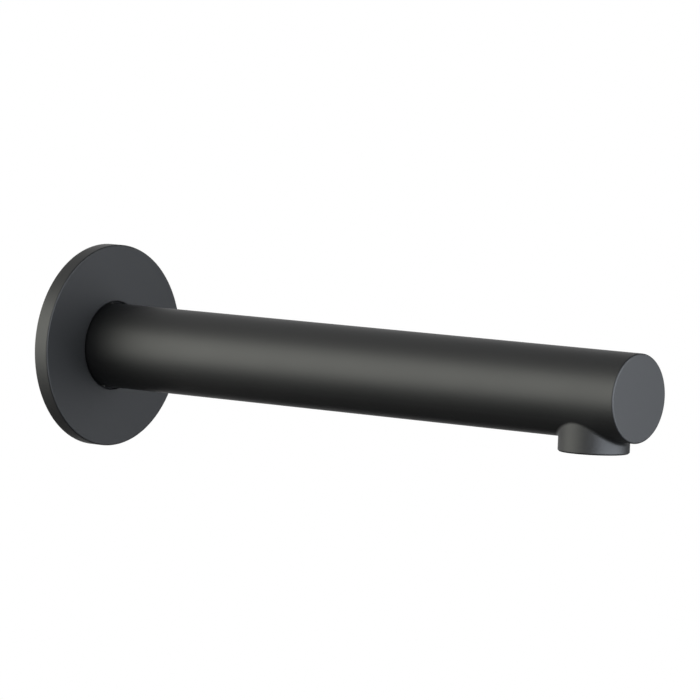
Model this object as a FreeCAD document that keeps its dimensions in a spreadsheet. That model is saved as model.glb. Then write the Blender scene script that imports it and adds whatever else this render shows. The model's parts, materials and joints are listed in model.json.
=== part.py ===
"""A wall-mounted bath spout, in millimetres, as a parametric document.

The origin is where the spout's axis meets the face of the wall. +Z is up, +Y goes into the wall,
and the tip faces -Y. A drawn tube carries a turned tip, a turned outlet boss that passes through
its underside, and an inlet bush at the wall end. The bush slides over a nipple that screws into
the pipe in the wall, and a grub screw from below locks it there. A flange covers the hole in the
wall, and the outlet holds an aerator built up from seven pieces.
"""

import FreeCAD
import Part
import math
import os

import Sketcher
from FreeCAD import Vector

# Driving sizes: alias, value, and what it measures
SIZES = [
    ("reach", 250.0, "face of the wall to the face of the tip"),
    ("tube_dia", 31.75, "outside of the tube"),
    ("tube_wall", 1.6, "wall of the tube"),
    ("wall_gap", 1.5, "face of the wall to the rear end of the tube"),
    ("braze_gap", 0.05, "radial gap at a brazed joint"),
    ("tip_head", 2.5, "thickness of the tip's head"),
    ("plug_clear", 0.25, "rear of the tip's plug to the outlet's hole"),
    ("tip_plug_wall", 2.5, "wall of the tip's plug"),
    ("tip_edge", 0.45, "chamfer round the face of the tip"),
    ("tube_edge", 0.3, "chamfer at the rear end of the tube"),
    ("outlet_margin", 5.8, "face of the tip to the near side of the outlet"),
    ("outlet_inset", 3.175, "side of the tube to the side of the outlet"),
    ("outlet_drop", 4.5, "underside of the tube to the mouth of the outlet"),
    ("outlet_edge", 0.5, "chamfer round the foot of the outlet"),
    ("mouth_edge", 0.4, "chamfer inside the mouth of the outlet"),
    ("blend_radius", 1.7, "fillet between the outlet and the tube"),
    ("blend_sink", 0.03, "how far the fillet's run-out would sink under the tube's surface"),
    ("boss_stand", 0.5, "top of the boss above the highest edge of its hole in the tube"),
    ("boss_wall", 2.7, "wall of the boss above the seat"),
    ("seat_lip", 1.5, "thickness of the aerator's seat"),
    ("outlet_wall", 1.95, "wall of the outlet round the aerator's thread"),
    ("seat_width", 2.5, "width of the aerator's seat, from the thread to the throat"),
    ("thread_gap", 0.05, "radial gap in the aerator's thread"),
    ("aerator_recess", 0.6, "mouth of the outlet to the foot of the housing"),
    ("housing_height", 8.0, "height of the aerator's housing"),
    ("housing_wall", 1.4, "wall of the housing"),
    ("housing_lip", 0.6, "how far the housing's foot reaches under the stream former"),
    ("lip_height", 1.0, "height of that foot"),
    ("housing_edge", 0.3, "chamfer round the foot of the housing"),
    ("notch_count", 8, "key notches in the foot of the housing"),
    ("notch_width", 2.2, "width of a key notch"),
    ("notch_depth", 0.7, "depth of a key notch"),
    ("insert_gap", 0.05, "radial gap round the pieces inside the housing"),
    ("former_height", 2.5, "height of the stream former"),
    ("cell_width", 1.8, "honeycomb cell across its flats"),
    ("cell_pitch", 2.2, "honeycomb cell to cell"),
    ("screen_thick", 0.3, "thickness of a screen"),
    ("opening_width", 1.1, "side of a screen's square opening"),
    ("opening_pitch", 1.6, "screen opening to opening"),
    ("spacer_height", 0.8, "height of the ring between the screens"),
    ("spacer_wall", 0.9, "wall of that ring"),
    ("jet_plate_thick", 1.0, "thickness of the jet plate"),
    ("jet_skirt_wall", 0.9, "wall of the jet plate's skirt"),
    ("jet_dia", 1.0, "hole in the jet plate"),
    ("outer_jets", 18, "holes in the outer ring"),
    ("jet_margin", 1.65, "bore of the skirt to the outer ring of holes"),
    ("inner_jets", 10, "holes in the inner ring"),
    ("jet_ring_pitch", 2.7, "outer ring of holes to the inner ring"),
    ("strainer_flange", 0.8, "thickness of the strainer's flange"),
    ("strainer_wall", 0.8, "wall of the strainer's hat"),
    ("strainer_height", 3.2, "flange's underside to the top of the hat"),
    ("strainer_taper", 1.0, "how much narrower the hat is at its top, on the radius"),
    ("strainer_gap", 0.35, "radial gap between the hat and the throat"),
    ("slot_count", 12, "slots in the strainer"),
    ("slot_width", 0.8, "width of a slot"),
    ("slot_start", 2.2, "strainer's axis to the inner end of a slot"),
    ("washer_thick", 1.5, "thickness of the aerator's washer"),
    ("washer_gap", 0.3, "radial gap round the aerator's washer"),
    ("thread_dia", 20.955, "inlet thread, G 1/2, over its crests"),
    ("thread_length", 14.0, "how far the inlet thread enters the wall"),
    ("thread_lead", 1.2, "chamfer at the end of the inlet thread"),
    ("relief_depth", 1.18, "crests of the inlet thread to the floor of the relief behind it"),
    ("seal_thick", 2.0, "thickness of the inlet's seal washer"),
    ("seal_gap", 0.3, "radial gap between the floor of the relief and the seal washer"),
    ("shoulder_gap", 0.775, "radial gap between the nipple's shoulder and the tube"),
    ("shoulder_thick", 4.0, "thickness of the shoulder"),
    ("spigot_dia", 19.9, "spigot of the nipple"),
    ("spigot_length", 25.0, "length of the spigot"),
    ("spigot_gap", 0.05, "radial gap between the spigot and the bush"),
    ("spigot_lead", 0.8, "chamfer at the front of the spigot"),
    ("key_width", 12.0, "key socket of the nipple across its flats"),
    ("key_depth", 9.0, "depth of that socket"),
    ("key_ledge", 0.25, "waterway through the nipple to the flats of that socket"),
    ("lock_depth", 1.0, "depth of the groove that the grub screw bears in"),
    ("lock_clear", 0.5, "gap between the grub screw's thread and the sides of that groove"),
    ("ring_groove_width", 2.8, "width of an O-ring groove in the spigot"),
    ("ring_groove_depth", 1.5, "depth of an O-ring groove in the spigot"),
    ("ring_side_gap", 0.35, "gap at each side of a squeezed O-ring"),
    ("ring_gap", 0.02, "radial gap left at a squeezed O-ring"),
    ("ring_setback", 4.0, "front of the spigot to the first O-ring"),
    ("ring_pitch", 6.0, "first O-ring to the second"),
    ("bush_clear", 1.0, "shoulder of the nipple to the bush"),
    ("bush_overhang", 1.5, "front of the spigot to the front of the bush"),
    ("bush_lead", 1.0, "chamfer at the mouth of the bush"),
    ("screw_setback", 7.5, "face of the flange to the grub screw's axis"),
    ("screw_dia", 5.0, "grub screw's thread"),
    ("screw_gap", 0.05, "gap round and under the grub screw"),
    ("screw_recess", 0.875, "underside of the tube to the foot of the grub screw"),
    ("screw_edge", 0.5, "chamfer at the ends of the grub screw"),
    ("screw_key", 2.5, "key socket of the grub screw across its flats"),
    ("screw_key_depth", 2.5, "depth of that socket"),
    ("flange_dia", 76.2, "outside of the wall flange"),
    ("flange_depth", 6.0, "face of the wall to the face of the flange"),
    ("flange_plate", 2.0, "thickness of the flange's front plate"),
    ("flange_rim", 2.0, "thickness of the flange's rim"),
    ("flange_edge", 0.3, "chamfer round the face of the flange"),
    ("flange_hole_gap", 0.65, "radial gap between the flange and the tube"),
    ("hub_clear", 0.5, "face of the wall to the rear end of the flange's hub"),
    ("hub_wall", 2.0, "wall of the hub outside its groove"),
    ("grip_setback", 3.0, "face of the wall to the middle of the grip ring"),
    ("grip_space", 1.7, "radial space that the grip ring is squeezed into"),
    ("grip_groove_width", 2.8, "width of the grip ring's groove"),
    ("gasket_width", 4.5, "width of the wall gasket"),
    ("gasket_gap", 0.1, "radial gap between the gasket and the flange's rim"),
]

SHEET_NAME = "Sizes"
HEXAGON = 6
RING_CORNER_SHARE = 0.3  # an O-ring's chamfer as a share of its squeezed height

document = FreeCAD.newDocument("bath_spout")


# Sizes that carry their own formula


class Size:
    """A length with its formula: the number draws a shape and the text binds it to the sheet."""

    def __init__(self, number, text):
        self.number = number
        self.text = text

    def __add__(self, other):
        other = as_size(other)
        return Size(self.number + other.number, f"({self.text} + {other.text})")

    def __sub__(self, other):
        other = as_size(other)
        return Size(self.number - other.number, f"({self.text} - {other.text})")

    def __mul__(self, other):
        other = as_size(other)
        return Size(self.number * other.number, f"({self.text} * {other.text})")

    def __truediv__(self, other):
        other = as_size(other)
        return Size(self.number / other.number, f"({self.text} / {other.text})")

    def __neg__(self):
        return Size(-self.number, f"(0 - {self.text})")


def as_size(value):
    """A plain number as a Size."""
    if isinstance(value, Size):
        return value
    return Size(float(value), f"({float(value):.9f})")


def square_root(value):
    """The square root of a Size."""
    return Size(math.sqrt(value.number), f"sqrt({value.text})")


def fill_sheet():
    """Writes the driving sizes into the sheet and returns each of them as a Size."""
    sheet = document.addObject("Spreadsheet::Sheet", SHEET_NAME)
    found = {}
    for row, (alias, value, meaning) in enumerate(SIZES, start=1):
        sheet.set(f"A{row}", meaning)
        sheet.set(f"B{row}", str(value))
        sheet.setAlias(f"B{row}", alias)
        found[alias] = Size(value, f"{SHEET_NAME}.{alias}")
    document.recompute()
    return found


size = fill_sheet()

# Sizes worked out from the driving ones

tube_radius = size["tube_dia"] / 2
bore_radius = tube_radius - size["tube_wall"]
plug_radius = bore_radius - size["braze_gap"]
tube_front = size["reach"] - size["tip_head"]

outlet_radius = tube_radius - size["outlet_inset"]
outlet_place = size["reach"] - size["outlet_margin"] - outlet_radius
axis_height = tube_radius + size["outlet_drop"]  # the tube's axis above the mouth of the outlet
hole_radius = outlet_radius + size["braze_gap"]
plug_length = size["outlet_margin"] - size["tip_head"] - size["braze_gap"] - size["plug_clear"]
hole_top = axis_height - square_root(bore_radius * bore_radius - hole_radius * hole_radius)
boss_top = hole_top + size["boss_stand"]

# Levels in the outlet, each above its mouth
housing_foot = size["aerator_recess"]
former_foot = housing_foot + size["lip_height"]
lower_screen_foot = former_foot + size["former_height"]
spacer_foot = lower_screen_foot + size["screen_thick"]
upper_screen_foot = spacer_foot + size["spacer_height"]
jet_foot = upper_screen_foot + size["screen_thick"]
housing_top = housing_foot + size["housing_height"]
washer_foot = housing_top + size["strainer_flange"]
seat_level = washer_foot + size["washer_thick"]
lip_level = seat_level + size["seat_lip"]

# Radii in the outlet
thread_radius = outlet_radius - size["outlet_wall"]
throat_radius = thread_radius - size["seat_width"]
housing_radius = thread_radius - size["thread_gap"]
housing_bore = housing_radius - size["housing_wall"]
lip_radius = housing_bore - size["housing_lip"]
insert_radius = housing_bore - size["insert_gap"]
skirt_bore = insert_radius - size["jet_skirt_wall"]
outer_jet_radius = skirt_bore - size["jet_margin"]
inner_jet_radius = outer_jet_radius - size["jet_ring_pitch"]
washer_radius = thread_radius - size["washer_gap"]
hat_radius = throat_radius - size["strainer_gap"]

# The nipple, measured from the wall towards the tip
nipple_bore = size["key_width"] / 2 - size["key_ledge"]
inlet_radius = size["thread_dia"] / 2
relief_radius = inlet_radius - size["relief_depth"]
shoulder_radius = bore_radius - size["shoulder_gap"]
shoulder_front = size["seal_thick"] + size["shoulder_thick"]
spigot_front = shoulder_front + size["spigot_length"]
spigot_radius = size["spigot_dia"] / 2
bush_radius = spigot_radius + size["spigot_gap"]
bush_rear = shoulder_front + size["bush_clear"]
bush_front = spigot_front + size["bush_overhang"]
first_ring = spigot_front - size["ring_setback"]
second_ring = first_ring - size["ring_pitch"]
ring_floor = spigot_radius - size["ring_groove_depth"]
screw_place = size["flange_depth"] + size["screw_setback"]
lock_floor = spigot_radius - size["lock_depth"]
screw_radius = size["screw_dia"] / 2
screw_foot = tube_radius - size["screw_recess"]

# The flange
flange_radius = size["flange_dia"] / 2
flange_hole = tube_radius + size["flange_hole_gap"]
grip_floor = tube_radius + size["grip_space"]
hub_radius = grip_floor + size["hub_wall"]
plate_rear = size["flange_depth"] - size["flange_plate"]
rim_bore = flange_radius - size["flange_rim"]
gasket_radius = rim_bore - size["gasket_gap"]


# Sketches and features


def new_body(label):
    """An empty body in the spout's own frame."""
    body = document.addObject("PartDesign::Body", label)
    body.Label = label
    return body


def place_body(body, along, level=None):
    """Moves a body towards the tip by one formula and up by another."""
    body.setExpression(".Placement.Base.y", (-along).text)
    if level is not None:
        body.setExpression(".Placement.Base.z", level.text)


def at_the_mouth(body):
    """Puts a body's origin on the outlet's axis, in the plane of its mouth."""
    place_body(body, outlet_place, -axis_height)


def origin_part(body, role):
    """One of the body's own planes or axes."""
    return [part for part in body.Origin.OriginFeatures if part.Role == role][0]


def new_sketch(body, plane, raised=None):
    """An empty sketch on one of the body's planes, raised along that plane's normal."""
    profile = body.newObject("Sketcher::SketchObject", f"{body.Label}_sketch")
    profile.AttachmentSupport = [(origin_part(body, plane), "")]
    profile.MapMode = "FlatFace"
    if raised is not None:
        profile.setExpression("AttachmentOffset.Base.z", raised.text)
    return profile


def pin_point(profile, geometry, point, across, up):
    """Places one point of a sketch from its origin, on an axis where a distance is zero.

    In a sketch, geometry -1 is the axis across and holds the origin as its point 1, and
    geometry -2 is the axis up.
    """
    for kind, axis, value in (("DistanceX", -2, across), ("DistanceY", -1, up)):
        if value.number == 0:
            profile.addConstraint(Sketcher.Constraint("PointOnObject", geometry, point, axis))
            continue
        distance = Sketcher.Constraint(kind, -1, 1, geometry, point, value.number)
        index = profile.addConstraint(distance)
        profile.setExpression(f"Constraints[{index}]", value.text)


def draw_polygon(profile, corners):
    """Adds a closed outline of straight lines, each corner placed by its two formulas."""
    corners = [(as_size(across), as_size(up)) for across, up in corners]
    spots = [Vector(across.number, up.number, 0) for across, up in corners]
    first = profile.GeometryCount
    ends = spots[1:] + spots[:1]
    profile.addGeometry([Part.LineSegment(a, b) for a, b in zip(spots, ends)], False)
    for step, (across, up) in enumerate(corners):
        following = first + (step + 1) % len(corners)
        profile.addConstraint(Sketcher.Constraint("Coincident", first + step, 2, following, 1))
        pin_point(profile, first + step, 1, across, up)


def draw_circle(profile, radius, across=0, up=0):
    """Adds a circle with its centre placed by two formulas."""
    across, up = as_size(across), as_size(up)
    circle = Part.Circle(Vector(across.number, up.number, 0), Vector(0, 0, 1), radius.number)
    index = profile.addGeometry(circle, False)
    constraint = profile.addConstraint(Sketcher.Constraint("Radius", index, radius.number))
    profile.setExpression(f"Constraints[{constraint}]", radius.text)
    if across.number == 0 and up.number == 0:
        profile.addConstraint(Sketcher.Constraint("Coincident", index, 3, -1, 1))
    else:
        pin_point(profile, index, 3, across, up)


def draw_hexagon(profile, flats, across=0, up=0, turned=0.0):
    """Adds a hexagon of a given width across its flats, turned by an angle in degrees."""
    corner_reach = flats / math.sqrt(3)
    corners = []
    for step in range(HEXAGON):
        angle = math.radians(turned + 360 / HEXAGON * step)
        corners.append(
            (
                corner_reach * math.cos(angle) + across,
                corner_reach * math.sin(angle) + up,
            )
        )
    draw_polygon(profile, corners)


def revolve(body, profile, axis):
    """Turns a sketch once round one of its own axes."""
    feature = body.newObject("PartDesign::Revolution", f"{body.Label}_turned")
    feature.Profile = profile
    feature.ReferenceAxis = (profile, [axis])
    feature.Angle = 360
    document.recompute()
    return feature


def turn_along_tube(body, corners):
    """Turns an outline of (towards the wall, out from the axis) round the tube's axis."""
    profile = new_sketch(body, "YZ_Plane")
    draw_polygon(profile, corners)
    return revolve(body, profile, "H_Axis")


def turn_upright(body, corners):
    """Turns an outline of (out from the axis, up) round a vertical axis."""
    profile = new_sketch(body, "XZ_Plane")
    draw_polygon(profile, corners)
    return revolve(body, profile, "V_Axis")


def pad(body, profile, length):
    """Raises a sketch along its normal."""
    feature = body.newObject("PartDesign::Pad", f"{body.Label}_pad")
    feature.Profile = profile
    feature.setExpression("Length", length.text)
    document.recompute()
    return feature


def pocket(body, profile, depth, flipped=False):
    """Cuts a sketch out of the body, against its normal or, flipped, along it."""
    before = body.Shape.Volume
    feature = body.newObject("PartDesign::Pocket", f"{body.Label}_pocket")
    feature.Profile = profile
    feature.Reversed = flipped
    feature.setExpression("Length", depth.text)
    document.recompute()
    if not body.Shape.Volume < before:
        raise RuntimeError(f"{feature.Label} cuts nothing")
    return feature


def repeat_round(body, feature, axis, count):
    """Repeats a feature round one of the body's axes."""
    pattern = body.newObject("PartDesign::PolarPattern", f"{body.Label}_pattern")
    pattern.Originals = [feature]
    pattern.Axis = (origin_part(body, axis), [""])
    pattern.Angle = 360
    pattern.setExpression("Occurrences", as_size(count).text)
    body.Tip = pattern
    document.recompute()
    return pattern


def dress_edges(body, kind, amount, wanted):
    """Fillets or chamfers the edges of the body's tip for which wanted(edge) is true."""
    base = body.Tip
    names = [f"Edge{n}" for n, edge in enumerate(base.Shape.Edges, start=1) if wanted(edge)]
    if not names:
        raise RuntimeError(f"{body.Label} has no edge to dress")
    feature = body.newObject(f"PartDesign::{kind}", f"{body.Label}_{kind.lower()}")
    feature.Base = (base, names)
    feature.setExpression("Radius" if kind == "Fillet" else "Size", amount.text)
    document.recompute()
    return feature


def is_circle(edge, radius, spot=None):
    """Whether an edge is a whole circle of this radius, centred at this distance along an axis."""
    curve = edge.Curve
    if not isinstance(curve, Part.Circle) or abs(curve.Radius - radius.number) > 1e-4:
        return False
    return spot is None or any(abs(abs(c) - abs(spot.number)) < 1e-4 for c in curve.Center)


def ring_along_tube(label, rear, front, inner, outer):
    """A flat ring round the tube's axis, from a rear to a front distance from the wall."""
    body = new_body(label)
    turn_along_tube(
        body,
        [(-rear, inner), (-rear, outer), (-front, outer), (-front, inner)],
    )
    return body


def ring_upright(label, foot, top, inner, outer):
    """A flat ring round the outlet's axis, between two levels above its mouth."""
    body = new_body(label)
    turn_upright(body, [(inner, foot), (outer, foot), (outer, top), (inner, top)])
    at_the_mouth(body)
    return body


def o_ring(label, middle, inner, outer, groove_width):
    """An O-ring squeezed between two round walls: flat where it bears, with cut corners."""
    inner = inner + size["ring_gap"]
    outer = outer - size["ring_gap"]
    half = groove_width / 2 - size["ring_side_gap"]
    body = ring_along_tube(label, middle - half, middle + half, inner, outer)
    corner = (outer - inner) * RING_CORNER_SHARE
    dress_edges(body, "Chamfer", corner, lambda edge: isinstance(edge.Curve, Part.Circle))
    return body


# The spout's own body


def spout_tube():
    """The drawn tube, drilled below for the outlet boss and the grub screw."""
    body = new_body("spout_tube")
    section = new_sketch(body, "XZ_Plane", raised=size["wall_gap"])
    draw_circle(section, tube_radius)
    draw_circle(section, bore_radius)
    pad(body, section, tube_front - size["wall_gap"])
    for radius in (tube_radius, bore_radius):
        dress_edges(
            body,
            "Chamfer",
            size["tube_edge"],
            lambda edge, radius=radius: is_circle(edge, radius, size["wall_gap"]),
        )
    outlet_hole = new_sketch(body, "XY_Plane")
    draw_circle(outlet_hole, hole_radius, up=-outlet_place)
    pocket(body, outlet_hole, size["tube_dia"])
    screw_hole = new_sketch(body, "XY_Plane")
    draw_circle(screw_hole, screw_radius, up=-screw_place)
    pocket(body, screw_hole, size["tube_dia"])
    return body


def tip_cap():
    """The turned tip: a flat head as wide as the tube, and a hollow plug that enters it."""
    body = new_body("tip_cap")
    face = -size["reach"]
    head_rear = -tube_front
    plug_rear = head_rear + plug_length
    plug_bore = plug_radius - size["tip_plug_wall"]
    turn_along_tube(
        body,
        [
            (face, 0),
            (face, tube_radius - size["tip_edge"]),
            (face + size["tip_edge"], tube_radius),
            (head_rear, tube_radius),
            (head_rear, plug_radius),
            (plug_rear, plug_radius),
            (plug_rear, plug_bore),
            (head_rear, plug_bore),
            (head_rear, 0),
        ],
    )
    return body


def add_cylinder(body, kind, radius, height, level, lies_along_tube=False):
    """Adds or takes away a cylinder, upright from a level or lying centred along the tube."""
    feature = body.newObject(f"PartDesign::{kind}Cylinder", f"{body.Label}_cylinder")
    feature.setExpression("Radius", radius.text)
    feature.setExpression("Height", height.text)
    if lies_along_tube:
        feature.Placement = FreeCAD.Placement(Vector(), FreeCAD.Rotation(Vector(1, 0, 0), 90))
        feature.setExpression(".Placement.Base.y", (height / 2).text)
    feature.setExpression(".Placement.Base.z", as_size(level).text)
    document.recompute()
    return feature


def surface_radii(shape, edge):
    """The radii of the round faces that meet at an edge."""
    faces = shape.ancestorsOfType(edge, Part.Face)
    return [face.Surface.Radius for face in faces if isinstance(face.Surface, Part.Cylinder)]


def outlet_boss():
    """The turned outlet, through the tube's wall and blended into its underside.

    A sunk copy of the tube takes the fillet, and the true tube then trims it, so that the blend
    runs out on the tube's surface at a fine but real edge.
    """
    body = new_body("outlet_boss")
    sunk_radius = tube_radius - size["blend_sink"]
    run = outlet_radius * 4
    add_cylinder(body, "Additive", sunk_radius, run, axis_height, lies_along_tube=True)
    add_cylinder(body, "Additive", outlet_radius, axis_height, 0)
    shape = body.Tip.Shape

    def where_they_meet(edge):
        radii = surface_radii(shape, edge)
        wanted = sorted((sunk_radius.number, outlet_radius.number))
        return len(radii) == 2 and all(abs(a - b) < 1e-4 for a, b in zip(sorted(radii), wanted))

    dress_edges(body, "Fillet", size["blend_radius"], where_they_meet)
    add_cylinder(body, "Subtractive", tube_radius, run * 2, axis_height, lies_along_tube=True)
    add_cylinder(body, "Additive", outlet_radius, boss_top, 0)
    waterway = new_sketch(body, "XZ_Plane")
    upper_bore = outlet_radius - size["boss_wall"]
    clear_top = boss_top + size["boss_stand"]
    draw_polygon(
        waterway,
        [
            (0, -size["outlet_edge"]),
            (thread_radius, -size["outlet_edge"]),
            (thread_radius, seat_level),
            (throat_radius, seat_level),
            (throat_radius, lip_level),
            (upper_bore, lip_level),
            (upper_bore, clear_top),
            (0, clear_top),
        ],
    )
    bore = body.newObject("PartDesign::Groove", "outlet_boss_waterway")
    bore.Profile = waterway
    bore.ReferenceAxis = (waterway, ["V_Axis"])
    bore.Angle = 360
    document.recompute()
    dress_edges(
        body,
        "Chamfer",
        size["outlet_edge"],
        lambda edge: is_circle(edge, outlet_radius, as_size(0)) and abs(edge.Curve.Center.z) < 1e-4,
    )
    dress_edges(
        body,
        "Chamfer",
        size["mouth_edge"],
        lambda edge: is_circle(edge, thread_radius) and abs(edge.Curve.Center.z) < 1e-4,
    )
    at_the_mouth(body)
    return body


def inlet_bush():
    """The bush brazed in the rear of the tube, which slides over the nipple."""
    body = new_body("inlet_bush")
    rear = -bush_rear
    front = -bush_front
    lead = size["bush_lead"]
    turn_along_tube(
        body,
        [
            (rear, bush_radius + lead),
            (rear, plug_radius),
            (front, plug_radius),
            (front, bush_radius),
            (rear - lead, bush_radius),
        ],
    )
    screw_hole = new_sketch(body, "XY_Plane")
    draw_circle(screw_hole, screw_radius, up=-screw_place)
    pocket(body, screw_hole, size["tube_dia"])
    return body


# The fixing at the wall


def nipple_grooves():
    """The spigot's outline from its shoulder to its front, with its three grooves."""
    half_lock = screw_radius + size["lock_clear"]
    half_ring = size["ring_groove_width"] / 2
    corners = []
    for middle, half, floor in (
        (screw_place, half_lock, lock_floor),
        (second_ring, half_ring, ring_floor),
        (first_ring, half_ring, ring_floor),
    ):
        corners += [
            (-(middle - half), spigot_radius),
            (-(middle - half), floor),
            (-(middle + half), floor),
            (-(middle + half), spigot_radius),
        ]
    return corners


def wall_nipple():
    """The nipple: inlet thread, shoulder, and a spigot with a groove for the screw and the rings."""
    body = new_body("wall_nipple")
    rear = size["thread_length"]
    turn_along_tube(
        body,
        [
            (rear, nipple_bore),
            (rear, inlet_radius - size["thread_lead"]),
            (rear - size["thread_lead"], inlet_radius),
            (0, inlet_radius),
            (0, relief_radius),
            (-size["seal_thick"], relief_radius),
            (-size["seal_thick"], shoulder_radius),
            (-shoulder_front, shoulder_radius),
            (-shoulder_front, spigot_radius),
            *nipple_grooves(),
            (-(spigot_front - size["spigot_lead"]), spigot_radius),
            (-spigot_front, spigot_radius - size["spigot_lead"]),
            (-spigot_front, nipple_bore),
        ],
    )
    socket = new_sketch(body, "XZ_Plane", raised=spigot_front)
    draw_hexagon(socket, size["key_width"])
    pocket(body, socket, size["key_depth"])
    return body


def inlet_seal():
    """The rubber washer in the relief, between the shoulder and the fitting in the wall."""
    inner = relief_radius + size["seal_gap"]
    return ring_along_tube("inlet_seal", as_size(0), size["seal_thick"], inner, shoulder_radius)


def grub_screw():
    """The socket screw that locks the bush to the nipple from below."""
    body = new_body("grub_screw")
    top = -(lock_floor + size["screw_gap"])
    foot = -screw_foot
    radius = screw_radius - size["screw_gap"]
    edge = size["screw_edge"]
    turn_upright(
        body,
        [
            (0, foot),
            (radius - edge, foot),
            (radius, foot + edge),
            (radius, top - edge),
            (radius - edge, top),
            (0, top),
        ],
    )
    socket = new_sketch(body, "XY_Plane", raised=foot)
    draw_hexagon(socket, size["screw_key"])
    pocket(body, socket, size["screw_key_depth"], flipped=True)
    place_body(body, screw_place)
    return body


def wall_flange():
    """The turned flange: a flat plate with a rim, and a hub with a groove for its grip ring."""
    body = new_body("wall_flange")
    face = -size["flange_depth"]
    edge = size["flange_edge"]
    half_groove = size["grip_groove_width"] / 2
    groove_rear = -(size["grip_setback"] - half_groove)
    groove_front = -(size["grip_setback"] + half_groove)
    turn_along_tube(
        body,
        [
            (face, flange_hole + edge),
            (face, flange_radius - edge),
            (face + edge, flange_radius),
            (0, flange_radius),
            (0, rim_bore),
            (-plate_rear, rim_bore),
            (-plate_rear, hub_radius),
            (-size["hub_clear"], hub_radius),
            (-size["hub_clear"], flange_hole),
            (groove_rear, flange_hole),
            (groove_rear, grip_floor),
            (groove_front, grip_floor),
            (groove_front, flange_hole),
            (face + edge, flange_hole),
        ],
    )
    return body


def wall_gasket():
    """The foam ring that seals the flange to the wall."""
    inner = gasket_radius - size["gasket_width"]
    return ring_along_tube("wall_gasket", as_size(0), plate_rear, inner, gasket_radius)


# The aerator


def aerator_housing():
    """The threaded housing, with a foot that holds the inserts and notches for its key."""
    body = new_body("aerator_housing")
    edge = size["housing_edge"]
    turn_upright(
        body,
        [
            (lip_radius, housing_foot),
            (housing_radius - edge, housing_foot),
            (housing_radius, housing_foot + edge),
            (housing_radius, housing_top),
            (housing_bore, housing_top),
            (housing_bore, former_foot),
            (lip_radius, former_foot),
        ],
    )
    notch = new_sketch(body, "XY_Plane", raised=housing_foot)
    half = size["notch_width"] / 2
    reach_in = housing_bore
    reach_out = thread_radius + size["housing_wall"]
    draw_polygon(
        notch,
        [(reach_in, -half), (reach_out, -half), (reach_out, half), (reach_in, half)],
    )
    cut = pocket(body, notch, size["notch_depth"], flipped=True)
    repeat_round(body, cut, "Z_Axis", size["notch_count"])
    at_the_mouth(body)
    return body


def insert_disc(label, foot, height):
    """A plain disc that fills the housing, from a level above the mouth."""
    body = new_body(label)
    outline = new_sketch(body, "XY_Plane", raised=foot)
    draw_circle(outline, insert_radius)
    pad(body, outline, height)
    return body


def stream_former():
    """The honeycomb disc: one cell in the middle, and a sixth of the others patterned round."""
    body = insert_disc("stream_former", former_foot, size["former_height"])
    row_pitch = size["cell_pitch"] * math.sin(math.radians(60))
    corner_reach = size["cell_width"].number / math.sqrt(3)
    top = former_foot + size["former_height"]
    middle = new_sketch(body, "XY_Plane", raised=top)
    draw_hexagon(middle, size["cell_width"], turned=30)
    pocket(body, middle, size["former_height"])
    sector = new_sketch(body, "XY_Plane", raised=top)
    rings = int(lip_radius.number / row_pitch.number)
    for across_steps in range(1, rings + 1):
        for up_steps in range(rings + 1):
            across = size["cell_pitch"] * (across_steps + up_steps / 2)
            up = row_pitch * up_steps
            if math.hypot(across.number, up.number) + corner_reach < lip_radius.number:
                draw_hexagon(sector, size["cell_width"], across, up, turned=30)
    cells = pocket(body, sector, size["former_height"])
    repeat_round(body, cells, "Z_Axis", HEXAGON)
    at_the_mouth(body)
    return body


def screen(label, foot):
    """A woven screen: a quarter of its square openings, patterned four times round."""
    quarters = 4
    body = insert_disc(label, foot, size["screen_thick"])
    grid = new_sketch(body, "XY_Plane", raised=foot + size["screen_thick"])
    half = size["opening_width"] / 2
    limit = insert_radius.number - size["spacer_wall"].number
    steps = int(limit / size["opening_pitch"].number) + 1
    for across_steps in range(steps):
        for up_steps in range(steps):
            across = size["opening_pitch"] * (across_steps + 0.5)
            up = size["opening_pitch"] * (up_steps + 0.5)
            far_corner = math.hypot(across.number + half.number, up.number + half.number)
            if far_corner < limit:
                draw_polygon(
                    grid,
                    [
                        (across - half, up - half),
                        (across + half, up - half),
                        (across + half, up + half),
                        (across - half, up + half),
                    ],
                )
    openings = pocket(body, grid, size["screen_thick"])
    repeat_round(body, openings, "Z_Axis", quarters)
    at_the_mouth(body)
    return body


def screen_spacer():
    """The ring that keeps the two screens apart."""
    inner = insert_radius - size["spacer_wall"]
    return ring_upright("screen_spacer", spacer_foot, upper_screen_foot, inner, insert_radius)


def jet_plate():
    """The plate that breaks the water into jets, on a skirt that stands on the upper screen."""
    body = new_body("jet_plate")
    plate_foot = housing_top - size["jet_plate_thick"]
    turn_upright(
        body,
        [
            (0, plate_foot),
            (skirt_bore, plate_foot),
            (skirt_bore, jet_foot),
            (insert_radius, jet_foot),
            (insert_radius, housing_top),
            (0, housing_top),
        ],
    )
    for ring_radius, count in ((outer_jet_radius, "outer_jets"), (inner_jet_radius, "inner_jets")):
        hole = new_sketch(body, "XY_Plane", raised=housing_top)
        draw_circle(hole, size["jet_dia"] / 2, across=ring_radius)
        cut = pocket(body, hole, size["jet_plate_thick"])
        repeat_round(body, cut, "Z_Axis", size[count])
    at_the_mouth(body)
    return body


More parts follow.
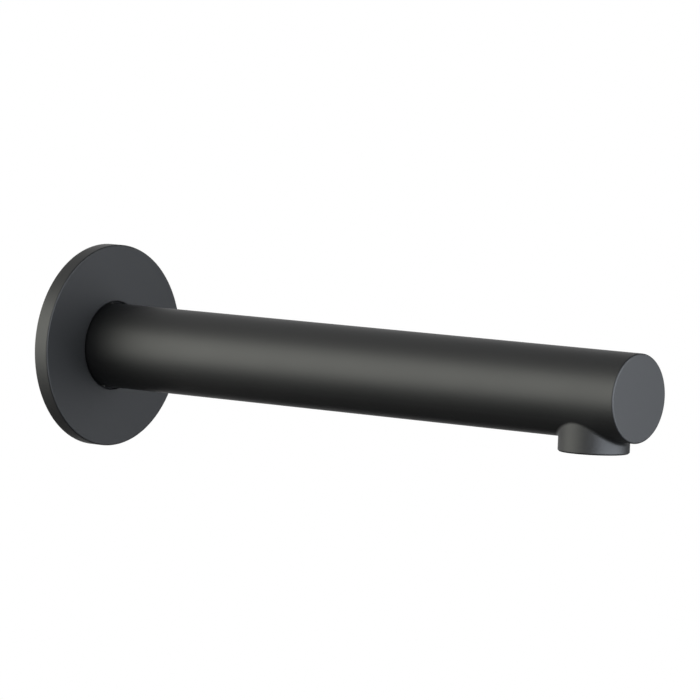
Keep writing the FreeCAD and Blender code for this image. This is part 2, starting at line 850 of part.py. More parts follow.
def inlet_strainer():
    """The slotted hat over the jet plate, which keeps grit out."""
    body = new_body("inlet_strainer")
    wall = size["strainer_wall"]
    hat_top = housing_top + size["strainer_height"]
    top_radius = hat_radius - size["strainer_taper"]
    turn_upright(
        body,
        [
            (hat_radius - wall, housing_top),
            (washer_radius, housing_top),
            (washer_radius, washer_foot),
            (hat_radius, washer_foot),
            (top_radius, hat_top),
            (0, hat_top),
            (0, hat_top - wall),
            (top_radius - wall, hat_top - wall),
        ],
    )
    slot = new_sketch(body, "XY_Plane", raised=hat_top)
    half = size["slot_width"] / 2
    slot_end = top_radius - wall
    draw_polygon(
        slot,
        [
            (size["slot_start"], -half),
            (slot_end, -half),
            (slot_end, half),
            (size["slot_start"], half),
        ],
    )
    cut = pocket(body, slot, wall)
    repeat_round(body, cut, "Z_Axis", size["slot_count"])
    at_the_mouth(body)
    return body


def aerator_washer():
    """The rubber washer between the strainer's flange and the seat."""
    return ring_upright("aerator_washer", washer_foot, seat_level, throat_radius, washer_radius)


def build_pieces():
    """Builds every piece and returns their bodies."""
    return [
        spout_tube(),
        tip_cap(),
        outlet_boss(),
        inlet_bush(),
        wall_nipple(),
        o_ring("front_o_ring", first_ring, ring_floor, bush_radius, size["ring_groove_width"]),
        o_ring("rear_o_ring", second_ring, ring_floor, bush_radius, size["ring_groove_width"]),
        inlet_seal(),
        grub_screw(),
        wall_flange(),
        o_ring("grip_ring", size["grip_setback"], tube_radius, grip_floor, size["grip_groove_width"]),
        wall_gasket(),
        aerator_housing(),
        stream_former(),
        screen("lower_screen", lower_screen_foot),
        screen_spacer(),
        screen("upper_screen", upper_screen_foot),
        jet_plate(),
        inlet_strainer(),
        aerator_washer(),
    ]


def check_document(pieces):
    """Stops if any feature failed or any piece has no valid shape."""
    for item in document.Objects:
        if "Invalid" in item.State or "Error" in item.State:
            raise RuntimeError(f"{item.Label} failed: {item.State}")
    for piece in pieces:
        if piece.Shape.isNull() or not piece.Shape.isValid() or not piece.Shape.Solids:
            raise RuntimeError(f"{piece.Label} has no valid solid")


def write_pieces(pieces):
    """Writes each piece to its own file."""
    os.makedirs("parts", exist_ok=True)
    for piece in pieces:
        piece.Shape.exportStep(os.path.join("parts", f"{piece.Label}.step"))
        box = piece.Shape.BoundBox
        print(f"{piece.Label:16} {piece.Shape.Volume:10.1f} mm3  y {box.YMin:8.2f} to {box.YMax:7.2f}")


all_pieces = build_pieces()
document.recompute()
check_document(all_pieces)
write_pieces(all_pieces)
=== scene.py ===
"""A matt black bath spout, dressed and lit as for a studio photograph.

The frame's solids keep their shapes and get their finishes here. Where a solid is plainer than
the real piece, it is made anew: the tip and the flange with rounded edges that catch the light,
the nipple and the grub screw with their threads, the squeezed rubber rings, and the two woven
screens of the aerator. Lengths are in millimetres until a mesh or a lamp is made, and the frame
is in metres.
"""

import json
import math

import bmesh
import bpy
import numpy as np
from mathutils import Matrix, Vector


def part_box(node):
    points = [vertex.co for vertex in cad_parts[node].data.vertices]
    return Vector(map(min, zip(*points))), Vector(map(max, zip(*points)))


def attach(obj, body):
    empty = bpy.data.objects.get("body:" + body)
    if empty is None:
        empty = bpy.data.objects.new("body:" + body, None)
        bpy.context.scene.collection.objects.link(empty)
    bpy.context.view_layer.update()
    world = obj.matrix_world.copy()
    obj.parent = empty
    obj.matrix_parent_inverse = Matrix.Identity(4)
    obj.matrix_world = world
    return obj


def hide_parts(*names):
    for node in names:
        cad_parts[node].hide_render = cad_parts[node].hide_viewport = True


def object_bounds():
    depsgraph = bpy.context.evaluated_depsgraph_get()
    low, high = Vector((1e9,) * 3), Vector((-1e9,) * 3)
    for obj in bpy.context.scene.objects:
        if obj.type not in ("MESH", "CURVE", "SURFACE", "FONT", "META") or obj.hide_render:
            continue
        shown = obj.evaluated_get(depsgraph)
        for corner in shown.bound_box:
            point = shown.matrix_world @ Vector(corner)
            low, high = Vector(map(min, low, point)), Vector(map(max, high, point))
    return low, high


MM = 0.001
BODY = "root"

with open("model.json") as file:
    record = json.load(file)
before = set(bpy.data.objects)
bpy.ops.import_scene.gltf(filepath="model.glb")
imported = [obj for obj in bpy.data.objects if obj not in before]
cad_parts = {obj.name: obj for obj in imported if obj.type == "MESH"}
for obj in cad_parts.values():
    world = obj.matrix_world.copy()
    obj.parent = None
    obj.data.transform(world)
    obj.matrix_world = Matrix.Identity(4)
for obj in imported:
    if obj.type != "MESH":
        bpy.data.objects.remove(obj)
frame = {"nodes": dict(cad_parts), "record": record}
cad_low, cad_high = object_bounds()
nodes = frame["nodes"]
mounts = {mount["name"]: mount for mount in frame["record"]["mounts"]}


# Sizes, in millimetres

# The tip's head with its rounded edge, and the hollow plug behind it
HEAD_THICK, TIP_ROUND = 2.5, 0.65
PLUG_RADIUS, PLUG_BORE = 14.225, 11.725

# The flange's plate, rim and rounded edges, its hub, and the groove in the hub
PLATE_THICK, RIM_THICK, FLANGE_ROUND = 2.0, 2.0, 0.55
HUB_RADIUS, HUB_REAR = 19.575, -0.5
GRIP_GROOVE_REAR, GRIP_GROOVE_FRONT, GRIP_GROOVE_RADIUS = -1.6, -4.4, 17.575

# The inlet's pipe thread, and the undercut behind it
INLET_PITCH, INLET_DEPTH, INLET_LEAD = 1.814, 1.162, 1.2
UNDERCUT, SEAL_THICK = 1.18, 2.0

# The nipple's shoulder, spigot, grooves, key socket and bore
SHOULDER_THICK = 4.0
SPIGOT_RADIUS, SPIGOT_LEAD = 9.95, 0.8
LOCK_GROOVE_WIDTH, LOCK_GROOVE_RADIUS = 6.0, 8.95
RING_GROOVE_WIDTH, RING_GROOVE_RADIUS = 2.8, 8.45
KEY_FLATS, KEY_DEPTH = 12.0, 9.0
BORE_RADIUS, LIP = 5.75, 0.3

# The grub screw's thread, socket, socket's lip, and cupped point
SCREW_PITCH, SCREW_DEPTH, SCREW_LEAD = 0.8, 0.42, 0.5
SCREW_FLATS, SCREW_SOCKET, SCREW_LIP = 2.5, 2.5, 0.1
SCREW_CUP, SCREW_POINT = 0.5, 0.3

# The rubber rings' squared-off section
SQUEEZE_POWER = 0.7

# The woven screens: wire to wire, the share of the solid's thickness that the wires fill, and
# how far the upper screen is turned from the lower one
SCREEN_PITCH, WIRE_SHARE = 0.9, 0.98
SCREEN_TURN = math.radians(45)

# How far a turned edge is cut back, at most which share of a side, and the flat point kept
# beside a rounded edge
TURNED_EDGE, EDGE_SHARE, FLAT_GUARD = 0.15, 0.4, 0.05

# Points round each piece, round a section, and along a wire for each pitch of the weave
TIP_SIDES, FLANGE_SIDES, NIPPLE_SIDES, SCREW_SIDES, RING_SIDES = 128, 192, 180, 72, 120
RING_SECTION, WIRE_SECTION, WIRE_STEPS = 28, 6, 4

# Points closer than this are one point, in metres
MERGE_GAP = 1e-7


def corners_of(node):
    """The lowest and the highest corner of a node."""
    low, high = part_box(node)
    return np.array(low) / MM, np.array(high) / MM


def middle_of(node):
    """The middle of a node's box."""
    low, high = corners_of(node)
    return (low + high) / 2


def radii_of(node):
    """The smallest and the largest distance of a node's corners from the spout's axis."""
    points = np.array([vertex.co for vertex in nodes[node].data.vertices]) / MM
    distance = np.hypot(points[:, 0], points[:, 2])
    return distance.min(), distance.max()


# Surfaces


def ring_angles(count):
    """Even angles round a ring."""
    return np.arange(count) * 2 * math.pi / count


def grid_faces(count, rows, columns, closed_along):
    """Corner numbers of the quads of several grids that are stored one after another.

    A quad joins a point to the next one in its row, in its column and across both. Columns are
    closed into a ring, and rows are where `closed_along` says so.
    """
    row = np.arange(rows if closed_along else rows - 1)
    grid, row, column = np.meshgrid(np.arange(count), row, np.arange(columns), indexing="ij")
    next_row, next_column = (row + 1) % rows, (column + 1) % columns

    def number(at_row, at_column):
        # Grids follow one another, and so do the rows in a grid
        return (grid * rows + at_row) * columns + at_column

    corners = [
        number(row, column),
        number(next_row, column),
        number(next_row, next_column),
        number(row, next_column),
    ]
    return np.stack(corners, -1).reshape(-1, 4)


def surface_piece(name, points, closed_along=False, crease=32.0):
    """A closed piece from grids of points, shaped (grids, rows, columns, 3).

    Points that meet, as at a pole, are joined, faces are turned outwards, and edges that turn by
    more than the crease angle stay sharp.
    """
    count, rows, columns, _ = points.shape
    faces = grid_faces(count, rows, columns, closed_along)
    mesh = bpy.data.meshes.new(name)
    mesh.from_pydata((points.reshape(-1, 3) * MM).tolist(), [], faces.tolist())
    shell = bmesh.new()
    shell.from_mesh(mesh)
    bmesh.ops.remove_doubles(shell, verts=shell.verts, dist=MERGE_GAP)
    bmesh.ops.recalc_face_normals(shell, faces=shell.faces)
    shell.to_mesh(mesh)
    shell.free()
    mesh.shade_smooth()
    mesh.set_sharp_from_angle(angle=math.radians(crease))
    piece = bpy.data.objects.new(name, mesh)
    bpy.context.scene.collection.objects.link(piece)
    return piece


def turned(rings, angle, upright=False, centre=(0.0, 0.0)):
    """Rings of points round an axis, as one grid.

    Each point lies at its ring's place along the axis, and out from it by its radius times the
    cosine and the sine of its angle. The axis is the spout's, or an upright one at the centre.
    """
    along, radius = rings
    across = radius * np.cos(angle) + centre[0]
    over = radius * np.sin(angle) + centre[1]
    order = [across, over, along] if upright else [across, along, over]
    return np.stack(order, -1)[None]


def plain_rings(outline, angle):
    """Rings of an outline of (along, radius) that is the same at every angle."""
    outline = np.array(outline, float)
    round_ones = np.ones_like(angle)
    return outline[:, :1] * round_ones, outline[:, 1:] * round_ones


def hexagon_rings(places, flats, lips, angle):
    """Rings of a hexagon socket, each wider than the hexagon by its lip.

    A hexagon's radius is half its flats over the cosine of the angle from its side's middle.
    """
    sixth = math.pi / 3
    side = flats / 2 / np.cos(np.mod(angle, sixth) - sixth / 2)
    along = np.array(places)[:, None] * np.ones_like(angle)
    return along, side + np.array(lips)[:, None]


def thread_rings(start, end, angle, crest, pitch, depth, lead, hand=1, per_turn=14):
    """Rings of a screw thread between two places, with a cone at its free end.

    Its radius is the crest less depth times (1 - cosine of phase) / 2, and the phase grows by a
    full turn for each pitch along and for each turn round. The cone cuts it off where the crest
    less the lead, plus the way from the start, is smaller.
    """
    count = int(abs(end - start) / pitch * per_turn)
    along = np.linspace(start, end, count)[:, None] * np.ones_like(angle)
    phase = 2 * math.pi * along / pitch + hand * angle
    radius = crest - depth * (1 - np.cos(phase)) / 2
    cone = crest - lead + np.abs(along - start)
    return along, np.minimum(radius, cone)


def joined_rings(*blocks):
    """Blocks of rings, end to end."""
    return np.vstack([block[0] for block in blocks]), np.vstack([block[1] for block in blocks])


def eased(outline, ease):
    """An outline with each inner corner cut back along both its edges.

    The cut is as long as the ease, or a share of the edge where that is shorter.
    """
    outline = np.array(outline, float)
    corner = outline[1:-1]
    cuts = []
    for neighbour in (outline[:-2], outline[2:]):
        way = neighbour - corner
        length = np.linalg.norm(way, axis=1, keepdims=True)
        cuts.append(corner + way / length * np.minimum(ease, length * EDGE_SHARE))
    return np.vstack([outline[:1], np.stack(cuts, 1).reshape(-1, 2), outline[-1:]])


def round_corner(before, corner, after, radius, steps=6):
    """A right-angled corner of an outline, rounded, with one more point on each flat beside it.

    From the corner, a point goes back by the radius times (1 - sine of an angle) and on by the
    radius times (1 - cosine of it), as the angle grows to a right one.
    """
    before, corner, after = np.array([before, corner, after], float)
    back = (before - corner) / np.linalg.norm(before - corner)
    ahead = (after - corner) / np.linalg.norm(after - corner)
    angle = np.linspace(0, math.pi / 2, steps + 1)[:, None]
    arc = corner + radius * ((1 - np.sin(angle)) * back + (1 - np.cos(angle)) * ahead)
    guard = radius + FLAT_GUARD
    return np.vstack([corner + guard * back, arc, corner + guard * ahead])


def dress(piece, node, finish):
    """Puts a piece on the body in place of its node and its finish."""
    piece.data.materials.append(finish)
    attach(piece, BODY)
    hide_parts(node)


# Shader maths


class Signal:
    """A socket's value, which can be added, taken away, multiplied and joined with `|`."""

    def __init__(self, tree, socket):
        self.tree = tree
        self.socket = socket

    def maths(self, operation, first, second):
        """The outcome of a Math node on two values."""
        return self.tree.node("ShaderNodeMath", {"operation": operation}, {0: first, 1: second})

    def __add__(self, other):
        return self.maths("ADD", self, other)

    def __sub__(self, other):
        return self.maths("SUBTRACT", self, other)

    def __rsub__(self, other):
        return self.maths("SUBTRACT", other, self)

    def __mul__(self, other):
        return self.maths("MULTIPLY", self, other)

    def __pow__(self, other):
        return self.maths("POWER", self, other)

    def __or__(self, other):
        return self.maths("MAXIMUM", self, other)

    def __rpow__(self, other):
        return self.maths("POWER", other, self)

    __radd__ = __add__
    __rmul__ = __mul__
    __ror__ = __or__

    def beside(self, output):
        """Another output of the node that this value comes from."""
        return Signal(self.tree, self.socket.node.outputs[output])

    def step(self, low, high):
        """Nought below `low`, one above `high`, and a smooth step between them."""
        settings = {"interpolation_type": "SMOOTHSTEP"}
        inputs = {"Value": self, "From Min": low, "From Max": high}
        return self.tree.node("ShaderNodeMapRange", settings, inputs)


class Tree:
    """A node tree that is written with Signals."""

    def __init__(self, tree):
        self.tree = tree

    def node(self, kind, settings=None, inputs=None, output=0):
        """Adds a node: its settings first, then the values or links of its open sockets."""
        node = self.tree.nodes.new(kind)
        for key, value in (settings or {}).items():
            setattr(node, key, value)
        for key, value in (inputs or {}).items():
            self.feed(self.open_socket(node.inputs, key), value)
        return Signal(self, self.open_socket(node.outputs, output))

    @staticmethod
    def open_socket(sockets, key):
        """A socket by its name, or by its number, among those that the settings leave open."""
        in_use = [socket for socket in sockets if socket.enabled]
        if isinstance(key, int):
            return in_use[key]
        return next(socket for socket in in_use if socket.name == key)

    def feed(self, socket, value):
        """Links a Signal to a socket, or sets the socket to a plain value."""
        if isinstance(value, Signal):
            self.tree.links.new(value.socket, socket)
        else:
            socket.default_value = value

    def seen(self):
        """One for what the camera, a gloss or clear glass sees, and nought for light alone."""
        camera = self.node("ShaderNodeLightPath", output="Is Camera Ray")
        return camera | camera.beside("Is Glossy Ray") | camera.beside("Is Transmission Ray")


class Finish(Tree):
    """A material that is written with Signals."""

    def __init__(self, name):
        self.material = bpy.data.materials.new(name)
        self.material.use_nodes = True
        super().__init__(self.material.node_tree)
        self.shader = self.tree.nodes["Principled BSDF"]

    def set(self, **values):
        """Feeds the main shader's sockets, which are named with _ for each space."""
        for key, value in values.items():
            self.feed(self.shader.inputs[key.replace("_", " ")], value)
        return self.material

    def place(self):
        """The point on the piece, in metres."""
        return self.node("ShaderNodeTexCoord", output="Object")

    def noise(self, per_mm, detail=2.0, roughness=0.5):
        """Even noise from nought to one, with about `per_mm` grains in a millimetre."""
        inputs = {
            "Vector": self.place(),
            "Scale": per_mm / MM,
            "Detail": detail,
            "Roughness": roughness,
        }
        return self.node("ShaderNodeTexNoise", inputs=inputs)

    def tool_rings(self, per_mm):
        """Noise that changes only along and out from the spout's axis, as a turning tool cuts."""
        part = self.node("ShaderNodeSeparateXYZ", inputs={"Vector": self.place()}, output="X")
        along, up = part.beside("Y"), part.beside("Z")
        out = (part * part + up * up) ** 0.5
        inputs = {"W": along + out, "Scale": per_mm / MM, "Detail": 3.0, "Roughness": 0.6}
        return self.node("ShaderNodeTexNoise", {"noise_dimensions": "1D"}, inputs)

    def blend(self, factor, first, second):
        """The first colour where the factor is nought, and the second where it is one."""
        inputs = {"Factor": factor, "A": (*first, 1.0), "B": (*second, 1.0)}
        return self.node("ShaderNodeMix", {"data_type": "RGBA"}, inputs)

    def bump(self, height, depth):
        """A normal from a height between nought and one, `depth` millimetres deep."""
        return self.node("ShaderNodeBump", inputs={"Height": height, "Distance": depth * MM})


# Finishes


def matt_black_coat():
    """Matt black coat: a fine even grain, with slow drifts in its tone and gloss."""
    finish = Finish("matt_black_coat")
    grain = finish.noise(2.6, detail=3.0, roughness=0.6)
    skin = finish.noise(0.9, detail=1.0)
    drift = finish.noise(0.035)
    tone = grain * 0.6 + drift * 0.4
    return finish.set(
        Base_Color=finish.blend(tone, (0.0026, 0.0027, 0.0028), (0.0052, 0.0053, 0.0055)),
        Roughness=0.46 + grain * 0.05 + drift * 0.06,
        Normal=finish.bump(skin * 0.6 + grain * 0.4, 0.006),
    )


def turned_brass():
    """Brass off the lathe: tool rings round the spout's axis, and a little tarnish."""
    finish = Finish("turned_brass")
    cut = finish.tool_rings(5.0)
    tarnish = finish.noise(0.12, detail=4.0, roughness=0.6).step(0.42, 0.72)
    return finish.set(
        Base_Color=finish.blend(tarnish, (0.72, 0.50, 0.22), (0.48, 0.32, 0.14)),
        Metallic=1.0,
        Roughness=0.22 + cut * 0.12 + tarnish * 0.14,
        Normal=finish.bump(cut, 0.006),
    )


def black_rubber():
    """Black rubber with a fine moulded grain and traces of talc."""
    finish = Finish("black_rubber")
    grain = finish.noise(3.5, detail=3.0)
    talc = finish.noise(0.5, detail=4.0).step(0.55, 0.85)
    return finish.set(
        Base_Color=finish.blend(talc, (0.016, 0.016, 0.017), (0.045, 0.044, 0.043)),
        Roughness=0.55 + grain * 0.12 + talc * 0.15,
        Normal=finish.bump(grain, 0.01),
    )


def cut_foam():
    """Closed-cell foam, cut from sheet: dark cells between paler walls, where the dark in the
    cells' pits is painted shade.
    """
    finish = Finish("cut_foam")
    inputs = {"Vector": finish.place(), "Scale": 2.2 / MM}
    # The cells' pits are low in the bump and darker in colour: painted shade in them, paler on the
    # walls between
    wall = finish.node("ShaderNodeTexVoronoi", inputs=inputs, output="Distance").step(0.15, 0.6)
    return finish.set(
        Base_Color=finish.blend(wall, (0.010, 0.010, 0.011), (0.060, 0.060, 0.062)),
        Roughness=0.9 - wall * 0.1,
        Normal=finish.bump(wall, 0.12),
    )


def moulded_plastic(name, dark, light, roughness):
    """Moulded plastic: a spark-eroded grain and a faint flow pattern."""
    finish = Finish(name)
    grain = finish.noise(5.0)
    flow = finish.noise(0.25, detail=3.0)
    return finish.set(
        Base_Color=finish.blend(flow, dark, light),
        Roughness=roughness + grain * 0.10,
        Normal=finish.bump(grain, 0.006),
    )


def drawn_steel():
    """Stainless steel, as drawn: bright, with fine scratches."""
    finish = Finish("drawn_steel")
    scratch = finish.noise(4.0, detail=4.0, roughness=0.7)
    return finish.set(
        Base_Color=finish.blend(scratch, (0.46, 0.46, 0.47), (0.66, 0.66, 0.66)),
        Metallic=1.0,
        Roughness=0.24 + scratch * 0.18,
        Normal=finish.bump(scratch, 0.003),
    )


coat = matt_black_coat()
brass = turned_brass()
rubber = black_rubber()
foam = cut_foam()
dark_plastic = moulded_plastic("dark_acetal", (0.020, 0.021, 0.023), (0.034, 0.035, 0.038), 0.42)
pale_plastic = moulded_plastic("pale_acetal", (0.66, 0.66, 0.62), (0.76, 0.76, 0.73), 0.38)
steel = drawn_steel()


# New pieces


def rounded_tip():
    """The tip: a flat head with a rounded edge and a hollow plug, the same at every angle."""
    low, high = corners_of("tip_cap")
    _, radius = radii_of("tip_cap")
    face, plug_rear = low[1], high[1]
    head_rear = face + HEAD_THICK
    edge = round_corner((face, 0), (face, radius), (head_rear, radius), TIP_ROUND)
    inside = [(head_rear, radius), (head_rear, PLUG_RADIUS), (plug_rear, PLUG_RADIUS)]
    inside += [(plug_rear, PLUG_BORE), (head_rear, PLUG_BORE), (head_rear, 0)]
    outline = np.vstack([[(face, 0)], edge, inside])
    angle = ring_angles(TIP_SIDES)
    piece = surface_piece("rounded_tip", turned(plain_rings(outline, angle), angle))
    dress(piece, "tip_cap", coat)


def rounded_flange():
    """The flange: a plate with a rim and a hub, the same at every angle.

    Its outline runs from the rim's rear, round the hollow and the hub's groove, and over the
    face, whose two edges are rounded.
    """
    low, high = corners_of("wall_flange")
    hole, radius = radii_of("wall_flange")
    face, wall = low[1], high[1]
    rim_bore, plate_rear = radius - RIM_THICK, face + PLATE_THICK
    rim_middle = radius - RIM_THICK / 2
    hollow = [(wall, rim_middle), (wall, rim_bore), (plate_rear, rim_bore)]
    hollow += [(plate_rear, HUB_RADIUS), (HUB_REAR, HUB_RADIUS), (HUB_REAR, hole)]
    hollow += [(GRIP_GROOVE_REAR, hole), (GRIP_GROOVE_REAR, GRIP_GROOVE_RADIUS)]
    hollow += [(GRIP_GROOVE_FRONT, GRIP_GROOVE_RADIUS), (GRIP_GROOVE_FRONT, hole)]
    inner_edge = round_corner((GRIP_GROOVE_FRONT, hole), (face, hole), (face, radius), FLANGE_ROUND)
    outer_edge = round_corner((face, hole), (face, radius), (wall, radius), FLANGE_ROUND)
    outline = np.vstack([hollow, inner_edge, outer_edge, [(wall, radius)]])
    angle = ring_angles(FLANGE_SIDES)
    points = turned(plain_rings(outline, angle), angle)
    piece = surface_piece("rounded_flange", points, closed_along=True)
    dress(piece, "wall_flange", coat)


def groove(middle, width, floor):
    """The corners of a groove in the spigot, from the rear."""
    rear, front = middle + width / 2, middle - width / 2
    return [(rear, SPIGOT_RADIUS), (rear, floor), (front, floor), (front, SPIGOT_RADIUS)]


def threaded_nipple():
    """The nipple, as one surface from its bore's rear mouth, over its outside, to its socket.

    Only the thread and the hexagon socket change with the angle, and every other ring is round.
    """
    crest = mounts["inlet_thread"]["dims"]["r_mm"]
    low, high = corners_of("wall_nipple")
    front, rear, shoulder = low[1], high[1], high[0]
    undercut = crest - UNDERCUT
    shoulder_front = -SEAL_THICK - SHOULDER_THICK
    angle = ring_angles(NIPPLE_SIDES)
    outside = [(0, undercut), (-SEAL_THICK, undercut), (-SEAL_THICK, shoulder)]
    outside += [(shoulder_front, shoulder), (shoulder_front, SPIGOT_RADIUS)]
    outside += groove(middle_of("grub_screw")[1], LOCK_GROOVE_WIDTH, LOCK_GROOVE_RADIUS)
    for ring in ("rear_o_ring", "front_o_ring"):
        outside += groove(middle_of(ring)[1], RING_GROOVE_WIDTH, RING_GROOVE_RADIUS)
    outside += [(front + SPIGOT_LEAD, SPIGOT_RADIUS), (front, SPIGOT_RADIUS - SPIGOT_LEAD)]
    outside.append((front, KEY_FLATS / math.sqrt(3) + 2 * LIP))
    floor = front + KEY_DEPTH
    rings = joined_rings(
        plain_rings([(rear - LIP, BORE_RADIUS), (rear, BORE_RADIUS + LIP)], angle),
        thread_rings(rear, 0.0, angle, crest, INLET_PITCH, INLET_DEPTH, INLET_LEAD),
        plain_rings(eased(outside, TURNED_EDGE), angle),
        hexagon_rings([front, front + LIP, floor], KEY_FLATS, [LIP, 0, 0], angle),
        plain_rings([(floor, BORE_RADIUS)], angle),
    )
    piece = surface_piece("threaded_nipple", turned(rings, angle), closed_along=True)
    dress(piece, "wall_nipple", brass)


def threaded_grub_screw():
    """The grub screw: a hexagon socket in its foot, a fine thread, and a cupped point."""
    low, high = corners_of("grub_screw")
    foot, point, crest = low[2], high[2], (high[0] - low[0]) / 2
    angle = ring_angles(SCREW_SIDES)
    socket_top = foot + SCREW_SOCKET
    places, lips = [socket_top, foot + SCREW_LIP, foot], [0, 0, SCREW_LIP]
    thread_sizes = (crest, SCREW_PITCH, SCREW_DEPTH, SCREW_LEAD, -1)
    rings = joined_rings(
        plain_rings([(socket_top + SCREW_CUP, 0)], angle),
        hexagon_rings(places, SCREW_FLATS, lips, angle),
        thread_rings(foot, point, angle, *thread_sizes),
        plain_rings([(point, crest - SCREW_LEAD - SCREW_POINT), (point - SCREW_CUP, 0)], angle),
    )
    centre = middle_of("grub_screw")[:2]
    piece = surface_piece("threaded_grub_screw", turned(rings, angle, True, centre))
    dress(piece, "grub_screw", steel)


def squeezed_ring(name, node):
    """A rubber ring squeezed between two walls.

    Its section is a squared-off ellipse: width and height follow the cosine and the sine of an
    angle, each raised to a power below one with its sign kept.
    """
    low, high = corners_of(node)
    inner, outer = radii_of(node)
    section = ring_angles(RING_SECTION)[:, None]
    angle = ring_angles(RING_SIDES)
    wide = np.sign(np.cos(section)) * np.abs(np.cos(section)) ** SQUEEZE_POWER
    tall = np.sign(np.sin(section)) * np.abs(np.sin(section)) ** SQUEEZE_POWER
    along = (low[1] + high[1]) / 2 + (high[1] - low[1]) / 2 * wide
    radius = (inner + outer) / 2 + (outer - inner) / 2 * tall
    points = turned((along + 0 * angle, radius + 0 * angle), angle)
    dress(surface_piece(name, points, closed_along=True, crease=60.0), node, rubber)


def woven_screen(name, node, turn):
    """A woven screen: two sets of wires that pass over and under each other.

    A wire's height is half its thickness times the sine of pi times its place over the pitch,
    with the sign changed from wire to wire and from set to set. Its length is the chord of the
    disc at its place, and the whole screen is turned about its middle.
    """
    low, high = corners_of(node)
    disc = (high[0] - low[0]) / 2
    thick = (high[2] - low[2]) / 4 * WIRE_SHARE
    count = int(2 * disc / SCREEN_PITCH)
    place = (np.arange(count) - (count - 1) / 2) * SCREEN_PITCH
    step = np.linspace(-1, 1, count * WIRE_STEPS)
    run = (np.sqrt(disc**2 - place**2) - thick)[:, None] * step
    sign = (-1.0) ** np.arange(count)[:, None]
    wave = sign * np.sin(math.pi * (run / SCREEN_PITCH + (count % 2) / 2)) * thick
    section = ring_angles(WIRE_SECTION)
    radius = np.where(np.abs(step) == 1, 0.0, thick)[:, None]
    along = run[:, :, None] + 0 * section
    across = place[:, None, None] + radius * np.cos(section)
    wires = []
    for side in (1, -1):
        height = side * wave[:, :, None] + radius * np.sin(section)
        flat = (along, across) if side > 0 else (across, along)
        wires.append(np.stack([*flat, height], -1))
    cosine, sine = math.cos(turn), math.sin(turn)
    spin = np.array([[cosine, sine, 0], [-sine, cosine, 0], [0, 0, 1]])
    points = np.concatenate(wires) @ spin + middle_of(node)
    dress(surface_piece(name, points, crease=70.0), node, steel)


rounded_tip()
rounded_flange()
threaded_nipple()
threaded_grub_screw()
squeezed_ring("front_seal_ring", "front_o_ring")
squeezed_ring("rear_seal_ring", "rear_o_ring")
squeezed_ring("flange_grip_ring", "grip_ring")
woven_screen("lower_woven_screen", "lower_screen", 0.0)
woven_screen("upper_woven_screen", "upper_screen", SCREEN_TURN)

FINISHES = {
    "spout_tube": coat,
    "outlet_boss": coat,
    "aerator_housing": coat,
    "inlet_bush": brass,
    "inlet_seal": rubber,
    "aerator_washer": rubber,
    "wall_gasket": foam,
    "stream_former": dark_plastic,
    "screen_spacer": pale_plastic,
    "jet_plate": pale_plastic,
    "inlet_strainer": pale_plastic,
}

for node_name, finish in FINISHES.items():
    for material_slot in nodes[node_name].material_slots:
        material_slot.material = finish


# Studio, in metres

FLOOR_LEVEL, FLOOR_SIDE = -2.4, 60.0
WORLD_FILL = 0.3
BLACK, WHITE = (0.0, 0.0, 0.0, 1.0), (1.0, 1.0, 1.0, 1.0)
spout_tip = Vector((0, cad_low[1], 0))
spout_middle = spout_tip / 2


def panel(name, centre, half_width, half_height):
    """A flat panel from its centre and the ways from there to two of its sides."""
    centre, wide, tall = Vector(centre), Vector(half_width), Vector(half_height)
    corners = [centre - wide - tall, centre + wide - tall]
    corners += [centre + wide + tall, centre - wide + tall]
    mesh = bpy.data.meshes.new(name)
    mesh.from_pydata(corners, [], [(0, 1, 2, 3)])
    sheet = bpy.data.objects.new(name, mesh)
    bpy.context.scene.collection.objects.link(sheet)
    return sheet


def pale_floor():
    """A pale floor, far enough down for views from below, and white where it is seen."""
    half = FLOOR_SIDE / 2
    floor = panel("floor", (0, 0, FLOOR_LEVEL), (half, 0, 0), (0, half, 0))
    finish = Finish("pale_floor")
    finish.set(Base_Color=(0.8, 0.8, 0.8, 1.0), Roughness=0.9)
    plain = Signal(finish, finish.shader.outputs[0])
    white = finish.node("ShaderNodeEmission")
    inputs = {0: finish.seen(), 1: plain, 2: white}
    mixed = finish.node("ShaderNodeMixShader", inputs=inputs)
    finish.feed(finish.tree.nodes["Material Output"].inputs["Surface"], mixed)
    floor.data.materials.append(finish.material)


def shade_card(name, tone, centre, half_width, half_height):
    """A card that the camera doesn't see, and that a gloss sees in place of the white."""
    card = panel(name, centre, half_width, half_height)
    finish = Finish(name)
    finish.set(
        Base_Color=BLACK,
        Roughness=1.0,
        Specular_IOR_Level=0.0,
        Emission_Color=(tone, tone, tone, 1.0),
        Emission_Strength=1.0,
    )
    card.data.materials.append(finish.material)
    card.visible_camera = False


def studio_world():
    """A world that is white where it is seen, and an even grey fill as light."""
    world = bpy.data.worlds.new("studio")
    bpy.context.scene.world = world
    world.use_nodes = True
    tree = Tree(world.node_tree)
    seen = tree.seen()
    background = world.node_tree.nodes["Background"]
    background.inputs["Color"].default_value = WHITE
    tree.feed(background.inputs["Strength"], seen + (1 - seen) * WORLD_FILL)


def softbox(name, aim, azimuth, elevation, distance, size, brightness, colour):
    """A soft lamp that faces `aim`, from an azimuth that turns from +X towards +Y.

    Its power is pi times its area times its brightness, where white paper in full light is one.
    """
    width, height = size
    lamp = bpy.data.lights.new(name, "AREA")
    lamp.shape = "RECTANGLE"
    lamp.size, lamp.size_y = width, height
    lamp.energy = brightness * math.pi * width * height
    lamp.color = colour
    turn, rise = math.radians(azimuth), math.radians(elevation)
    level = math.cos(rise)
    way = Vector((math.cos(turn) * level, math.sin(turn) * level, math.sin(rise)))
    box = bpy.data.objects.new(name, lamp)
    box.location = aim + way * distance
    box.rotation_euler = way.to_track_quat("Z", "Y").to_euler()
    box.visible_camera = False
    bpy.context.scene.collection.objects.link(box)


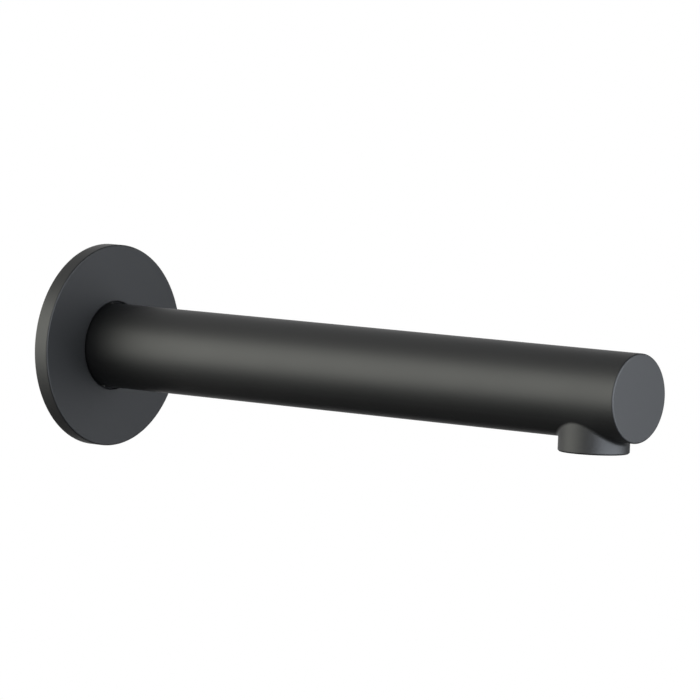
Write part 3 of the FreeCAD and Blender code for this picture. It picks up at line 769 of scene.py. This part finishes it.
pale_floor()
studio_world()
shade_card(
    "card_below",
    tone=0.05,
    centre=(-0.215, -0.24, -0.24),
    half_width=(0.485, 0, 0),
    half_height=(0, 0.51, 0),
)
shade_card(
    "card_above_front",
    tone=0.06,
    centre=(0.17, -0.425, 0.6),
    half_width=(0.73, 0, 0),
    half_height=(0, 0.525, 0),
)
shade_card(
    "card_above_rear",
    tone=0.62,
    centre=(0.17, 0.65, 0.6),
    half_width=(0.73, 0, 0),
    half_height=(0, 0.55, 0),
)
shade_card(
    "card_beside",
    tone=0.06,
    centre=(0.6, -0.34, 0.0),
    half_width=(0, 0.21, 0),
    half_height=(0, 0, 0.5),
)
softbox(
    "left_softbox",
    spout_middle,
    azimuth=141,
    elevation=15,
    distance=2.4,
    size=(2.7, 2.8),
    brightness=3.2,
    colour=(0.985, 1.0, 0.90),
)
softbox(
    "right_softbox",
    spout_tip,
    azimuth=-91,
    elevation=3,
    distance=0.46,
    size=(0.88, 0.7),
    brightness=5.4,
    colour=(0.83, 0.90, 1.0),
)


# Camera

IMAGE_SIDE, SENSOR = 700, 36.0
FOCAL_PIXELS = 5052.1
CAMERA_AZIMUTH, CAMERA_ELEVATION, CAMERA_ROLL = -51.461, 4.183, 2.508
CAMERA_DISTANCE, FAR_CLIP = 1.8383, 200.0
AIM_RIGHT, AIM_UP = -9.60, 20.29  # where the lens points from the spout's middle, in pixels


def studio_camera():
    """A long lens, placed so that the spout falls on the photograph's edges.

    The azimuth turns from the -Y side towards +X, the roll turns the image, and the aim then
    tilts the lens off the spout's middle.
    """
    turn, rise = math.radians(CAMERA_AZIMUTH), math.radians(CAMERA_ELEVATION)
    level, roll = math.cos(rise), math.radians(CAMERA_ROLL)
    back = Vector((math.sin(turn) * level, -math.cos(turn) * level, math.sin(rise)))
    level_right = Vector((0, 0, 1)).cross(back).normalized()
    level_up = back.cross(level_right)
    right = level_right * math.cos(roll) + level_up * math.sin(roll)
    up = level_up * math.cos(roll) - level_right * math.sin(roll)
    back_tilted = back - right * (AIM_RIGHT / FOCAL_PIXELS) - up * (AIM_UP / FOCAL_PIXELS)
    back_tilted.normalize()
    right = (right - back_tilted * right.dot(back_tilted)).normalized()
    up = back_tilted.cross(right)
    lens = bpy.data.cameras.new("camera")
    lens.sensor_width = SENSOR
    lens.lens = SENSOR * FOCAL_PIXELS / IMAGE_SIDE
    lens.clip_end = FAR_CLIP
    camera = bpy.data.objects.new("camera", lens)
    facing = Matrix((right, up, back_tilted)).transposed().to_4x4()
    camera.matrix_world = Matrix.Translation(spout_middle + back * CAMERA_DISTANCE) @ facing
    bpy.context.scene.collection.objects.link(camera)
    bpy.context.scene.camera = camera


studio_camera()
bpy.context.scene.view_settings.view_transform = "Standard"
